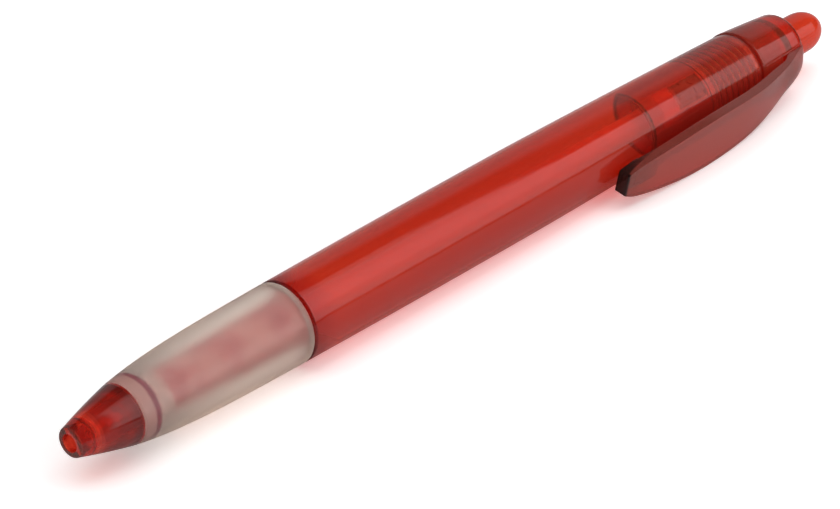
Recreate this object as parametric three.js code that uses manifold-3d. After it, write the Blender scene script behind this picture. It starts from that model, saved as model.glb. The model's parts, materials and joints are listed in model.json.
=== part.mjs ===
// A retractable ballpoint pen in clear red plastic, with a soft grip and a leaf-shaped clip.
// Lengths are in millimetres. The pen's axis is X: the nose starts at x = 0 and the button ends
// furthest along +X. The clip is built on the -Y side, and the last group rolls the pen onto it.
import * as THREE from "three";
import { mergeVertices } from "three/addons/utils/BufferGeometryUtils.js";
import Module from "manifold-3d";

const wasm = await Module();
wasm.setup();

// Lengths of the shells that show, from the nose to the button
const noseLength = 8.2;
const gripLength = 26.9;
const barrelLength = 88.4;
const capLength = 9.9;
const buttonReach = 8.6;

// Outer radii
const noseFrontRadius = 1.85;
const noseBackRadius = 3.95;
const gripBackRadius = 5.4;
const bellyRadius = 5.68;
const bellyDistance = 44.9;
const barrelEndRadius = 5.12;
const capFrontRadius = 5.24;
const capRimRadius = 4.51;
const buttonRadius = 2.95;
const buttonDomeRadius = 2.78;

// Edges and the gaps between parts
const noseEdge = 0.35;
const rimEdge = 0.4;
const seamEdge = 0.18;
const seamGap = 0.15;
const slideFit = 0.1;
const pressFit = 0.05;
const runningGap = 0.2;

// Nose cone
const pointHoleRadius = 1.05;
const pointHoleDepth = 2.3;
const springSeatRadius = 1.8;
const noseBoreRadius = 2.3;
const noseBoreStart = 5.6;
const noseCollar = 2.6;
const spigotLength = 5.6;
const spigotRadius = 2.72;

// Barrel
const coreRadius = 3.4;
const coreBackBoreRadius = 2.35;
const barrelBoreRadius = 4.3;
const boreTaperLength = 4;
const shoulderWall = 0.9;

// Screw thread between the cap's skirt and the barrel
const threadPitch = 1.2;
const threadLength = 9;
const threadInset = 0.7;
const threadRootRadius = 4.05;
const threadDepth = 0.35;
const threadClearance = 0.15;
const threadRootWidth = 0.62;
const threadCrestWidth = 0.28;
const threadSink = 0.1;

// Cap
const skirtReach = 21;
const skirtBoreRadius = 3.6;
const skirtLip = 0.3;
const skirtLipLength = 0.8;
const headBoreRadius = 3.35;
const capEndWall = 2;
const windowLength = 6;
const windowWidth = 3;
const windowInset = 3.9;
const windowTurn = 120;

// Clip, with heights measured out from the pen's axis and turns in degrees from +Y toward +Z
const clipSide = 180;
const clipEndStation = 90.7;
const clipThickness = 1.35;
const clipEndThickness = 1.7;
const clipRootInset = 0.2;
const pocketFloor = 3.75;
const pocketLength = 5.2;
const rootWidth = 4.7;
const pegLength = 1.3;
const pegWidth = 1.6;
const pegInset = 3.2;
const padStation = 94.4;
const padLength = 6;
const padWidth = 2.6;
const padFlat = 1.5;
const clipSeatGap = 0.12;
const pocketRamp = 1.2;
const innerCrownShare = 0.3;

// Button, pusher, rotor and guide sleeve
const pressTravel = 6;
const flangeRadius = 3.2;
const flangeThickness = 1.7;
const buttonBoreRadius = 1.95;
const buttonWall = 0.9;
const domeLength = 2.8;
const guideRadius = 3.5;
const guideBoreRadius = 3.1;
const railDepth = 0.5;
const railWidth = 0.8;
const railInset = 11.4;
const railOverlap = 1.6;
const keyWidth = 0.9;
const keyLength = 5.9;
const keyInset = 0.8;
const finInset = 0.6;
const hubRadius = 2.4;
const toothHeight = 0.7;
const toothCount = 8;
const toothRampShare = 0.95;
const railCount = 4;
const crownBoreRadius = 1.35;
const rotorHubLength = 4;
const rotorNoseRadius = 1.3;
const rotorNoseLength = 1.8;
const rotorPinRadius = 1.1;
const rotorPinLength = 5;
const pusherStemRadius = 1.85;
const toothGap = 0.3;

// Refill and spring
const pointSetback = 3.5;
const ballRadius = 0.4;
const ballClearance = 0.04;
const pointRimRadius = 0.43;
const coneLength = 2.7;
const coneBackRadius = 0.75;
const shaftRadius = 0.9;
const shaftLength = 2.6;
const shaftStep = 0.4;
const pointBodyRadius = 1.15;
const pointLength = 13.5;
const pointSpigotLength = 4;
const refillRadius = 1.5;
const refillBoreRadius = 1;
const plugHead = 0.85;
const plugSpigot = 4;
const inkLength = 62;
const greaseLength = 4;
const wireRadius = 0.18;
const springRadius = 1.48;
const springCurls = 9;

// Facets
const roundSteps = 32;
const innerSteps = 20;
const wireSides = 5;
const wireSteps = 8;
const threadSteps = 16;
const toothSteps = 4;
const edgeSteps = 3;
const coarseSteps = 4;
const fineSteps = 8;
const clipSteps = 4;

// How far a cutter passes a face, and how far a joined piece sinks into what it joins
const overcut = 1;
const sink = 0.3;

// Stations along the axis that several parts share
const gripEnd = noseLength + gripLength;
const bellyStation = gripEnd + bellyDistance;
const capStart = gripEnd + barrelLength;
const capEnd = capStart + capLength;
const penLength = capEnd + buttonReach;
const coreStart = noseLength + noseCollar + runningGap;
const skirtStart = capStart - skirtReach;
const threadStart = capStart - threadInset - threadLength;
const barrelThreadRoot = threadRootRadius + threadDepth + threadClearance;
const guideStart = skirtStart + skirtLipLength + runningGap;
const flangeEnd = capEnd - capEndWall - runningGap;
const flangeStart = flangeEnd - flangeThickness;
const guideEnd = flangeStart - pressTravel - 2 * runningGap;
const railStart = guideStart + railInset;
const rotorBack = railStart + railOverlap;
const rotorFront = rotorBack - rotorHubLength;
const pusherFront = rotorBack + toothHeight + toothGap;
const refillEnd = rotorFront - rotorNoseLength - runningGap;
const refillStart = pointSetback + pointLength;
const springStart = pointHoleDepth + slideFit;
const pocketStart = capEnd - pocketLength;
const domeStart = penLength - domeLength;
const buttonBoreEnd = domeStart - runningGap;
const stemEnd = buttonBoreEnd - buttonWall - runningGap;

// A radius that falls from a wide station to a narrow one, partly straight and partly curved.
function taper(wideX, wideRadius, narrowX, narrowRadius, straightShare, power) {
  return (x) => {
    const t = Math.abs(x - wideX) / Math.abs(narrowX - wideX);
    const fall = straightShare * t + (1 - straightShare) * t ** power;
    return wideRadius - (wideRadius - narrowRadius) * fall;
  };
}

const noseRadiusAt = taper(noseLength, noseBackRadius, 0, noseFrontRadius, 0.82, 2);
const gripRadiusAt = taper(gripEnd, gripBackRadius, noseLength, noseBackRadius, 0.29, 4);
const barrelFrontRadiusAt = taper(bellyStation, bellyRadius, gripEnd, gripBackRadius, 0, 2);
const barrelBackRadiusAt = taper(bellyStation, bellyRadius, capStart, barrelEndRadius, 0, 1.3);
const capRadiusAt = taper(capStart, capFrontRadius, capEnd, capRimRadius, 0.82, 2);

// Points [x, radius] of a curved stretch.
function stretch(radiusAt, from, to, steps) {
  const points = [];
  for (let i = 0; i <= steps; i += 1) {
    const x = from + ((to - from) * i) / steps;
    points.push([x, radiusAt(x)]);
  }
  return points;
}

// Points of a quarter round between two directions given in degrees, measured from +X.
function roundEdge(centreX, centreRadius, radius, fromDegrees, toDegrees, steps) {
  const points = [];
  for (let i = 0; i <= steps; i += 1) {
    const angle = THREE.MathUtils.degToRad(fromDegrees + ((toDegrees - fromDegrees) * i) / steps);
    points.push([centreX + radius * Math.cos(angle), centreRadius + radius * Math.sin(angle)]);
  }
  return points;
}

// A solid of revolution about X. The profile runs along the outside first, then back inside.
function revolve(profile, steps = roundSteps) {
  const points = profile.map(([x, radius]) => new THREE.Vector2(radius, x));
  if (profile[0][1] > 0) {
    points.push(points[0].clone());
  }
  return new THREE.LatheGeometry(points, steps).rotateZ(-Math.PI / 2);
}

// A closed skin over rings of points, with a flat face at each end.
function skin(rings) {
  const sides = rings[0].length;
  const positions = rings.flat().flatMap((point) => point.toArray());
  const faces = [];
  for (let i = 0; i + 1 < rings.length; i += 1) {
    for (let j = 0; j < sides; j += 1) {
      const a = i * sides + j;
      const b = i * sides + ((j + 1) % sides);
      faces.push(a, b, b + sides, a, b + sides, a + sides);
    }
  }
  const last = (rings.length - 1) * sides;
  for (let j = 1; j + 1 < sides; j += 1) {
    faces.push(0, j + 1, j, last, last + j, last + j + 1);
  }
  const geometry = new THREE.BufferGeometry();
  geometry.setAttribute("position", new THREE.Float32BufferAttribute(positions, 3));
  geometry.setIndex(faces);
  return geometry;
}

// Exact solids for joining and cutting.
function solidOf(geometry) {
  const bare = geometry.clone();
  bare.deleteAttribute("normal");
  bare.deleteAttribute("uv");
  const merged = mergeVertices(bare, 1e-4);
  const triVerts = new Uint32Array(merged.index.array);
  const vertProperties = new Float32Array(merged.attributes.position.array);
  return new wasm.Manifold(new wasm.Mesh({ numProp: 3, vertProperties, triVerts }));
}

function geometryOf(solid) {
  const mesh = solid.getMesh();
  const geometry = new THREE.BufferGeometry();
  geometry.setAttribute("position", new THREE.BufferAttribute(mesh.vertProperties, 3));
  geometry.setIndex(new THREE.BufferAttribute(mesh.triVerts, 1));
  geometry.computeVertexNormals();
  return geometry;
}

function combine(base, { add = [], cut = [] }) {
  let solid = solidOf(base);
  for (const geometry of add) {
    solid = solid.add(solidOf(geometry));
  }
  for (const geometry of cut) {
    solid = solid.subtract(solidOf(geometry));
  }
  return geometryOf(solid);
}

// A block given by its span along X, its span outward from the axis, its width and its turn.
function radialBlock([fromX, toX], [innerRadius, outerRadius], width, degrees) {
  const block = new THREE.BoxGeometry(toX - fromX, outerRadius - innerRadius, width);
  block.translate((fromX + toX) / 2, (innerRadius + outerRadius) / 2, 0);
  return block.rotateX(THREE.MathUtils.degToRad(degrees));
}

// The same block repeated round the axis.
function blocksAround(count, startDegrees, spanX, spanRadius, width) {
  const blocks = [];
  for (let i = 0; i < count; i += 1) {
    blocks.push(radialBlock(spanX, spanRadius, width, startDegrees + (360 * i) / count));
  }
  return blocks;
}

// A right-handed helical ridge about X, between a base radius and a crest radius.
function threadRidge(start, length, baseRadius, crestRadius, baseWidth, crestWidth) {
  const steps = Math.round((length / threadPitch) * threadSteps);
  const rings = [];
  for (let i = 0; i <= steps; i += 1) {
    const angle = (2 * Math.PI * i) / threadSteps;
    const x = start + (threadPitch * i) / threadSteps;
    const section = [
      [-baseWidth / 2, baseRadius],
      [baseWidth / 2, baseRadius],
      [crestWidth / 2, crestRadius],
      [-crestWidth / 2, crestRadius],
    ];
    if (crestRadius < baseRadius) {
      section.reverse();
    }
    const place = ([dx, radius]) =>
      new THREE.Vector3(x + dx, radius * Math.cos(angle), radius * Math.sin(angle));
    rings.push(section.map(place));
  }
  return skin(rings);
}

// A ring of saw teeth whose points face along +X, or along -X when facing is -1.
function sawCrown(baseX, facing) {
  const positions = [];
  const faces = [];
  const count = toothCount * toothSteps;
  for (let i = 0; i < count; i += 1) {
    const inTooth = (i % toothSteps) / (toothSteps - 1);
    const tooth = Math.floor(i / toothSteps);
    const angle = (2 * Math.PI * (tooth + inTooth * toothRampShare)) / toothCount;
    const top = baseX + facing * toothHeight * inTooth;
    for (const [x, radius] of [
      [baseX - facing * sink, crownBoreRadius],
      [baseX - facing * sink, hubRadius],
      [top, hubRadius],
      [top, crownBoreRadius],
    ]) {
      positions.push(x, radius * Math.cos(angle), radius * Math.sin(angle));
    }
    for (let side = 0; side < 4; side += 1) {
      const a = i * 4 + side;
      const b = i * 4 + ((side + 1) % 4);
      const c = ((i + 1) % count) * 4 + ((side + 1) % 4);
      const d = ((i + 1) % count) * 4 + side;
      const quad = facing > 0 ? [a, d, c, a, c, b] : [a, b, c, a, c, d];
      faces.push(...quad);
    }
  }
  const geometry = new THREE.BufferGeometry();
  geometry.setAttribute("position", new THREE.Float32BufferAttribute(positions, 3));
  geometry.setIndex(faces);
  return geometry;
}

// Outer shells
function noseCone() {
  const collarEnd = noseLength + noseCollar;
  return revolve([
    [0, noseFrontRadius - noseEdge],
    ...roundEdge(noseEdge, noseRadiusAt(noseEdge) - noseEdge, noseEdge, 150, 100, edgeSteps),
    ...stretch(noseRadiusAt, 2 * noseEdge, noseLength, coarseSteps),
    [noseLength, coreRadius],
    [collarEnd, coreRadius],
    [collarEnd, spigotRadius],
    [collarEnd + spigotLength, spigotRadius],
    [collarEnd + spigotLength, noseBoreRadius],
    [noseBoreStart, noseBoreRadius],
    [pointHoleDepth, springSeatRadius],
    [pointHoleDepth, pointHoleRadius],
    [0, pointHoleRadius],
  ]);
}

function gripSleeve() {
  const from = noseLength + slideFit;
  const to = gripEnd - seamGap;
  const bore = coreRadius + pressFit;
  return revolve([
    [from, bore],
    [from, gripRadiusAt(from) - seamEdge],
    ...stretch(gripRadiusAt, from + seamEdge, to - seamEdge, fineSteps),
    [to, gripRadiusAt(to) - seamEdge],
    [to, bore],
  ]);
}

function barrel() {
  const end = capStart - seamGap;
  const spigotEnd = coreStart + spigotLength + runningGap;
  const spigotBore = spigotRadius + pressFit;
  const threadBore = threadStart - threadPitch;
  const taperStart = gripEnd + shoulderWall;
  const outside = [
    ...stretch(barrelFrontRadiusAt, gripEnd + seamEdge, bellyStation, fineSteps),
    ...stretch(barrelBackRadiusAt, bellyStation, end - seamEdge, fineSteps).slice(1),
  ];
  const tube = revolve([
    [coreStart, spigotBore],
    [coreStart, coreRadius],
    [gripEnd, coreRadius],
    [gripEnd, gripBackRadius - seamEdge],
    ...outside,
    [end, barrelEndRadius - seamEdge],
    [end, barrelThreadRoot],
    [threadBore, barrelThreadRoot],
    [threadBore, barrelBoreRadius],
    [taperStart + boreTaperLength, barrelBoreRadius],
    [taperStart, coreBackBoreRadius],
    [spigotEnd, coreBackBoreRadius],
    [spigotEnd, spigotBore],
  ]);
  const ridge = threadRidge(
    threadStart + threadPitch / 2,
    threadLength - threadPitch / 2,
    barrelThreadRoot + threadSink,
    threadRootRadius + threadClearance,
    threadRootWidth,
    threadCrestWidth,
  );
  return combine(tube, { add: [ridge] });
}

function cap() {
  const lipRadius = skirtBoreRadius - skirtLip;
  const headBoreEnd = capEnd - capEndWall;
  const headBoreStart = guideEnd + runningGap;
  const shell = revolve([
    [skirtStart, lipRadius],
    [skirtStart, threadRootRadius],
    [capStart, threadRootRadius],
    [capStart, capFrontRadius - seamEdge],
    ...stretch(capRadiusAt, capStart + seamEdge, capEnd - rimEdge, coarseSteps),
    ...roundEdge(capEnd - rimEdge, capRimRadius - rimEdge, rimEdge, 70, 0, edgeSteps),
    [capEnd, buttonRadius + slideFit],
    [headBoreEnd, buttonRadius + slideFit],
    [headBoreEnd, headBoreRadius],
    [headBoreStart, headBoreRadius],
    [headBoreStart, skirtBoreRadius],
    [skirtStart + skirtLipLength, skirtBoreRadius],
    [skirtStart + skirtLipLength, lipRadius],
  ]);
  const ridge = threadRidge(
    threadStart,
    threadLength,
    threadRootRadius - threadSink,
    threadRootRadius + threadDepth,
    threadRootWidth,
    threadCrestWidth,
  );
  const pocket = radialBlock(
    [pocketStart, capEnd + overcut],
    [pocketFloor, capFrontRadius + overcut],
    rootWidth + 2 * runningGap,
    clipSide,
  );
  const pegX = capEnd - pegInset;
  const pegHole = radialBlock(
    [pegX - pegLength / 2 - runningGap, pegX + pegLength / 2 + runningGap],
    [headBoreRadius - runningGap, pocketFloor + overcut],
    pegWidth + 2 * runningGap,
    clipSide,
  );
  const windowX = skirtStart + windowInset;
  const windows = blocksAround(
    2,
    windowTurn,
    [windowX, windowX + windowLength],
    [skirtBoreRadius - skirtLip, capFrontRadius],
    windowWidth,
  );
  return combine(shell, { add: [ridge], cut: [pocket, pegHole, ...windows] });
}

// Clip sections, from the free end to the root: [x, height, width, crown]. Height is the outer
// face's middle line, and crown is how far its two edges lie below that line.
const clipSections = [
  [clipEndStation, 8.1, 3.5, 0],
  [clipEndStation + 0.4, 8.15, 4.1, 0],
  [clipEndStation + 2.3, 8.35, 4.9, 0],
  [clipEndStation + 5.3, 8.6, 5.86, 0],
  [clipEndStation + 9.3, 8.82, 6.92, 0.02],
  [clipEndStation + 13.3, 8.9, 7.63, 0.03],
  [clipEndStation + 17.3, 8.85, 7.95, 0.03],
  [clipEndStation + 21.3, 8.7, 7.85, 0.05],
  [clipEndStation + 25.3, 8.47, 7.41, 0.05],
  [clipEndStation + 29.3, 7.96, 6.9, 0.05],
  [capEnd - 9.4, 7.12, 6.2, 0.14],
  [capEnd - 7.2, 6.85, 5.8, 0.46],
  [capEnd - 5.4, 6.7, 5.45, 0.89],
  [capEnd - 3.6, 6.37, 5.1, 1.23],
  [capEnd - 2.2, 5.85, rootWidth, 1.29],
  [capEnd - 1, 5.3, rootWidth, 1.24],
  [capEnd - clipRootInset, 4.6, rootWidth, 0.65],
];

// The height of the clip's inner face: flat in the cap's pocket, a leaf of even thickness beyond.
function clipInnerHeight(x, outerHeight, crown) {
  if (x >= pocketStart + pocketRamp) {
    return pocketFloor + clipSeatGap;
  }
  const along = THREE.MathUtils.clamp((clipEndStation + padLength - x) / padLength, 0, 1);
  const thickness = THREE.MathUtils.lerp(clipThickness, clipEndThickness, along);
  return outerHeight - thickness - crown * innerCrownShare;
}

function clipRing([x, height, width, crown]) {
  const inner = clipInnerHeight(x, height, crown);
  const points = [];
  for (let i = 0; i <= clipSteps; i += 1) {
    const side = 1 - (2 * i) / clipSteps;
    points.push(new THREE.Vector3(x, -(height - crown * side * side), (side * width) / 2));
  }
  points.push(new THREE.Vector3(x, -inner, -width / 2));
  points.push(new THREE.Vector3(x, -inner, width / 2));
  return points;
}

// The inner face's height where the clip is flat across.
function clipUndersideAt(x) {
  const next = clipSections.findIndex(([station]) => station > x);
  const [fromX, fromHeight] = clipSections[next - 1];
  const [toX, toHeight] = clipSections[next];
  const height = THREE.MathUtils.mapLinear(x, fromX, toX, fromHeight, toHeight);
  return clipInnerHeight(x, height, 0);
}

// The raised pad under the clip's free end, which bears on the barrel.
function contactPad() {
  const seat = barrelBackRadiusAt(padStation) + clipSeatGap;
  const from = padStation - padLength / 2;
  const to = padStation + padLength / 2;
  const outline = new THREE.Shape([
    new THREE.Vector2(from, -clipUndersideAt(from) - sink),
    new THREE.Vector2(from, -clipUndersideAt(from)),
    new THREE.Vector2(padStation - padFlat / 2, -seat),
    new THREE.Vector2(padStation + padFlat / 2, -seat),
    new THREE.Vector2(to, -clipUndersideAt(to)),
    new THREE.Vector2(to, -clipUndersideAt(to) - sink),
  ]);
  const pad = new THREE.ExtrudeGeometry(outline, { depth: padWidth, bevelEnabled: false });
  return pad.translate(0, 0, -padWidth / 2);
}

function clip() {
  const leaf = skin(clipSections.map(clipRing));
  const pegX = capEnd - pegInset;
  const peg = radialBlock(
    [pegX - pegLength / 2, pegX + pegLength / 2],
    [headBoreRadius + slideFit, pocketFloor + clipSeatGap + sink],
    pegWidth,
    clipSide,
  );
  return combine(leaf, { add: [contactPad(), peg] });
}

// Button and click mechanism
function pushButton() {
  const dome = [];
  for (let i = 0; i <= fineSteps; i += 1) {
    const angle = (Math.PI / 2) * (i / fineSteps);
    dome.push([domeStart + domeLength * Math.sin(angle), buttonDomeRadius * Math.cos(angle)]);
  }
  dome[dome.length - 1][1] = 0;
  const shell = [
    [flangeStart, 0],
    [flangeStart, flangeRadius],
    [flangeEnd, flangeRadius],
    [flangeEnd, buttonRadius],
    [capEnd, buttonRadius],
    ...dome,
  ];
  const bore = [
    [flangeStart - overcut, 0],
    [flangeStart - overcut, buttonBoreRadius],
    [buttonBoreEnd - buttonWall, buttonBoreRadius],
    [buttonBoreEnd, buttonBoreRadius - buttonWall],
    [buttonBoreEnd, 0],
  ];
  return combine(revolve(shell, innerSteps), { cut: [revolve(bore, innerSteps)] });
}

function pusher() {
  const bodyStart = pusherFront + toothHeight;
  const shoulder = flangeStart - slideFit;
  const body = revolve(
    [
      [bodyStart, 0],
      [bodyStart, hubRadius],
      [shoulder, hubRadius],
      [shoulder, pusherStemRadius],
      [stemEnd, pusherStemRadius],
      [stemEnd, 0],
    ],
    innerSteps,
  );
  const pinBore = revolve(
    [
      [pusherFront - overcut, 0],
      [pusherFront - overcut, rotorPinRadius + slideFit],
      [rotorBack + rotorPinLength + overcut, rotorPinRadius + slideFit],
      [rotorBack + rotorPinLength + overcut, 0],
    ],
    innerSteps,
  );
  const keys = blocksAround(
    railCount,
    0,
    [bodyStart + keyInset, bodyStart + keyInset + keyLength],
    [hubRadius - sink, guideBoreRadius - runningGap],
    keyWidth,
  );
  return combine(body, { add: [sawCrown(bodyStart, -1), ...keys], cut: [pinBore] });
}

function camRotor() {
  const hub = revolve(
    [
      [rotorFront - rotorNoseLength, 0],
      [rotorFront - rotorNoseLength, rotorNoseRadius],
      [rotorFront, rotorNoseRadius],
      [rotorFront, hubRadius],
      [rotorBack, hubRadius],
      [rotorBack, rotorPinRadius],
      [rotorBack + rotorPinLength, rotorPinRadius],
      [rotorBack + rotorPinLength, 0],
    ],
    innerSteps,
  );
  const fins = blocksAround(
    railCount,
    0,
    [rotorFront + finInset, rotorBack],
    [hubRadius - sink, guideBoreRadius - runningGap],
    keyWidth,
  );
  return combine(hub, { add: [sawCrown(rotorBack, 1), ...fins] });
}

function guideTube() {
  const tube = revolve([
    [guideStart, guideBoreRadius],
    [guideStart, guideRadius],
    [guideEnd, guideRadius],
    [guideEnd, guideBoreRadius],
  ]);
  const rails = blocksAround(
    railCount,
    180 / railCount,
    [railStart, guideEnd - slideFit],
    [guideBoreRadius - railDepth, guideBoreRadius + runningGap],
    railWidth,
  );
  return combine(tube, { add: rails });
}

// Refill
function refillTip() {
  const ballX = pointSetback + ballRadius;
  const socket = ballRadius + ballClearance;
  const coneEnd = pointSetback + coneLength;
  const shaftEnd = coneEnd + shaftLength;
  const rim = roundEdge(ballX, 0, socket, 120, 0, 6);
  rim[rim.length - 1][1] = 0;
  return revolve(
    [
      ...rim.slice().reverse(),
      [rim[0][0], pointRimRadius],
      [coneEnd, coneBackRadius],
      [coneEnd, shaftRadius],
      [shaftEnd, shaftRadius],
      [shaftEnd + shaftStep, pointBodyRadius],
      [refillStart, pointBodyRadius],
      [refillStart, refillBoreRadius - pressFit],
      [refillStart + pointSpigotLength, refillBoreRadius - pressFit],
      [refillStart + pointSpigotLength, 0],
    ],
    innerSteps,
  );
}

function writingBall() {
  const ball = new THREE.SphereGeometry(ballRadius, 12, 8).rotateZ(Math.PI / 2);
  return ball.translate(pointSetback + ballRadius, 0, 0);
}

function refillTube() {
  return revolve(
    [
      [refillStart + pressFit, refillBoreRadius],
      [refillStart + pressFit, refillRadius],
      [refillEnd - plugHead - pressFit, refillRadius],
      [refillEnd - plugHead - pressFit, refillBoreRadius],
    ],
    innerSteps,
  );
}

function rod(from, to, radius) {
  return revolve(
    [
      [from, 0],
      [from, radius],
      [to, radius],
      [to, 0],
    ],
    innerSteps,
  );
}

function tailPlug() {
  return revolve(
    [
      [refillEnd - plugHead - plugSpigot, 0],
      [refillEnd - plugHead - plugSpigot, refillBoreRadius - pressFit],
      [refillEnd - plugHead, refillBoreRadius - pressFit],
      [refillEnd - plugHead, refillRadius],
      [refillEnd, refillRadius],
      [refillEnd, 0],
    ],
    innerSteps,
  );
}

function springPoint(turns, from, to) {
  const angle = 2 * Math.PI * turns;
  const x = from + ((to - from) * turns) / springCurls;
  return new THREE.Vector3(x, springRadius * Math.cos(angle), springRadius * Math.sin(angle));
}

function returnSpring() {
  const from = springStart + wireRadius;
  const to = refillStart - wireRadius - slideFit;
  const rise = (to - from) / springCurls / (2 * Math.PI);
  const steps = springCurls * wireSteps;
  const rings = [];
  for (let i = 0; i <= steps; i += 1) {
    const turns = i / wireSteps;
    const angle = 2 * Math.PI * turns;
    const outward = new THREE.Vector3(0, Math.cos(angle), Math.sin(angle));
    const along = new THREE.Vector3(rise, -springRadius * Math.sin(angle), springRadius * Math.cos(angle));
    const across = along.normalize().cross(outward);
    const ring = [];
    for (let j = 0; j < wireSides; j += 1) {
      const turn = (2 * Math.PI * j) / wireSides;
      const point = springPoint(turns, from, to);
      point.addScaledVector(outward, wireRadius * Math.cos(turn));
      ring.push(point.addScaledVector(across, wireRadius * Math.sin(turn)));
    }
    rings.push(ring);
  }
  return skin(rings);
}

// The least gap between one curl of the spring and the next, measured on points.
function springGap() {
  const from = springStart + wireRadius;
  const to = refillStart - wireRadius - slideFit;
  const fine = 40;
  let least = Infinity;
  for (let i = 0; i <= fine; i += 1) {
    const point = springPoint(i / fine, from, to);
    for (let j = i + fine / 2; j <= i + fine * 2; j += 1) {
      least = Math.min(least, point.distanceTo(springPoint(j / fine, from, to)));
    }
  }
  return least - 2 * wireRadius;
}

// The roll at which the clip's lower edge reaches the plane that the belly rests on.
function restingRoll() {
  let roll = Math.PI / 2;
  for (const [, height, width, crown] of clipSections) {
    const edge = Math.hypot(height - crown, width / 2);
    const lean = Math.atan2(width / 2, height - crown);
    if (edge > bellyRadius) {
      roll = Math.min(roll, Math.asin(bellyRadius / edge) - lean);
    }
  }
  return roll;
}

const clearRed = { color: 0xb02313, roughness: 0.08, metalness: 0 };
const brightRed = { color: 0xd33928, roughness: 0.1, metalness: 0 };
const smokyRed = { color: 0x7a3228, roughness: 0.1, metalness: 0 };
const frostedGrip = { color: 0xbfa397, roughness: 0.55, metalness: 0 };
const clearTube = { color: 0xe9dfd6, roughness: 0.15, metalness: 0 };
const redInk = { color: 0xa01018, roughness: 0.3, metalness: 0 };
const clearGrease = { color: 0xe0d6b8, roughness: 0.3, metalness: 0 };
const brass = { color: 0xc8a35a, roughness: 0.3, metalness: 1 };
const steel = { color: 0xb8b8b8, roughness: 0.25, metalness: 1 };

function piece(name, geometry, look) {
  const mesh = new THREE.Mesh(geometry, new THREE.MeshStandardMaterial(look));
  mesh.name = name;
  return mesh;
}

const inkStart = refillStart + pointSpigotLength + slideFit;
const greaseStart = inkStart + inkLength + slideFit;
const fillRadius = refillBoreRadius - pressFit;

const pen = new THREE.Group();
pen.add(piece("nose_cone", noseCone(), clearRed));
pen.add(piece("grip_sleeve", gripSleeve(), frostedGrip));
pen.add(piece("barrel", barrel(), clearRed));
pen.add(piece("cap", cap(), clearRed));
pen.add(piece("clip", clip(), smokyRed));
pen.add(piece("push_button", pushButton(), brightRed));
pen.add(piece("pusher", pusher(), clearRed));
pen.add(piece("cam_rotor", camRotor(), clearRed));
pen.add(piece("guide_tube", guideTube(), clearRed));
pen.add(piece("return_spring", returnSpring(), steel));
pen.add(piece("refill_tube", refillTube(), clearTube));
pen.add(piece("ink_column", rod(inkStart, inkStart + inkLength, fillRadius), redInk));
pen.add(piece("grease_follower", rod(greaseStart, greaseStart + greaseLength, fillRadius), clearGrease));
pen.add(piece("tail_plug", tailPlug(), clearTube));
pen.add(piece("refill_tip", refillTip(), brass));
pen.add(piece("writing_ball", writingBall(), steel));
pen.rotation.x = restingRoll();
console.log("return_spring: least gap to itself " + springGap().toFixed(2) + " mm");

// The part's frame: the origin is under the middle of the pen, on the surface that it lies on.
const part = new THREE.Group();
part.add(pen);
const bounds = new THREE.Box3().setFromObject(part, true);
const middle = bounds.getCenter(new THREE.Vector3());
pen.position.set(-middle.x, -middle.y, -bounds.min.z);

export default part;
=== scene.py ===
import json
import math

import bmesh
import bpy
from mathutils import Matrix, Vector


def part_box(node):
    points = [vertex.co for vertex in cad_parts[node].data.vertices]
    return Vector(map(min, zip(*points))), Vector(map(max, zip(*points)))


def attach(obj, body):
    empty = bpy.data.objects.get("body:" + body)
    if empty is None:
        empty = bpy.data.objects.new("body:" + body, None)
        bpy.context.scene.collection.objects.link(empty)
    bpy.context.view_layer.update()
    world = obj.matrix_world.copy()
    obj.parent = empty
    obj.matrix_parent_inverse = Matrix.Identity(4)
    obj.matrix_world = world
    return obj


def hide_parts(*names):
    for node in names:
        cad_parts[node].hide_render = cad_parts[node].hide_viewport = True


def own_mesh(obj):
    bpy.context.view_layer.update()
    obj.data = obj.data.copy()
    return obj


# A clear red retractable pen, lying on its side on a white table.
# Each piece is modelled along X in millimetres, with the nose at x = 0 and the clip on -Y,
# and settle() then lays it where the frame has it.

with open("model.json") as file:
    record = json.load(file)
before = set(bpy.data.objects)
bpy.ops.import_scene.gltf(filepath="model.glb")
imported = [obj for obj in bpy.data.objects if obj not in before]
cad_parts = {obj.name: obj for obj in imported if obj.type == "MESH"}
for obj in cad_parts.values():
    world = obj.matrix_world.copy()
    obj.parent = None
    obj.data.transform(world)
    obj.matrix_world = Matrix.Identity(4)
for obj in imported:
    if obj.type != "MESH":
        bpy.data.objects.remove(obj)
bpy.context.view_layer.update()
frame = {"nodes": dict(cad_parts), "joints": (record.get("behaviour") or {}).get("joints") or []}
mm = 0.001
near = 1e-6
weldReach = 0.001 * mm
smoothAngle = 32

barrelLow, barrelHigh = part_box("barrel")
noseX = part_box("nose_cone")[0].x
axisY = (barrelLow.y + barrelHigh.y) / 2
axisZ = (barrelLow.z + barrelHigh.z) / 2
clipHinge = next(joint for joint in frame["joints"] if joint["name"] == "clip_flex")
penRoll = math.atan2(-clipHinge["axis"][1], clipHinge["axis"][2])


# Working tools

def deselectAll():
    for thing in bpy.context.selected_objects:
        thing.select_set(False)


def makeActive(piece):
    deselectAll()
    piece.select_set(True)
    bpy.context.view_layer.objects.active = piece


def startEdit(piece):
    makeActive(piece)
    bpy.ops.object.mode_set(mode="EDIT")
    bpy.ops.mesh.select_mode(type="VERT")


def endEdit():
    bpy.ops.object.mode_set(mode="OBJECT")


def applyPlace(piece):
    makeActive(piece)
    bpy.ops.object.transform_apply(location=True, rotation=True, scale=True)


def pickVerts(piece, test):
    bpy.ops.mesh.select_all(action="DESELECT")
    mesh = bmesh.from_edit_mesh(piece.data)
    for vert in mesh.verts:
        vert.select = test(vert.co)
    mesh.select_flush_mode()
    bmesh.update_edit_mesh(piece.data)


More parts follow.
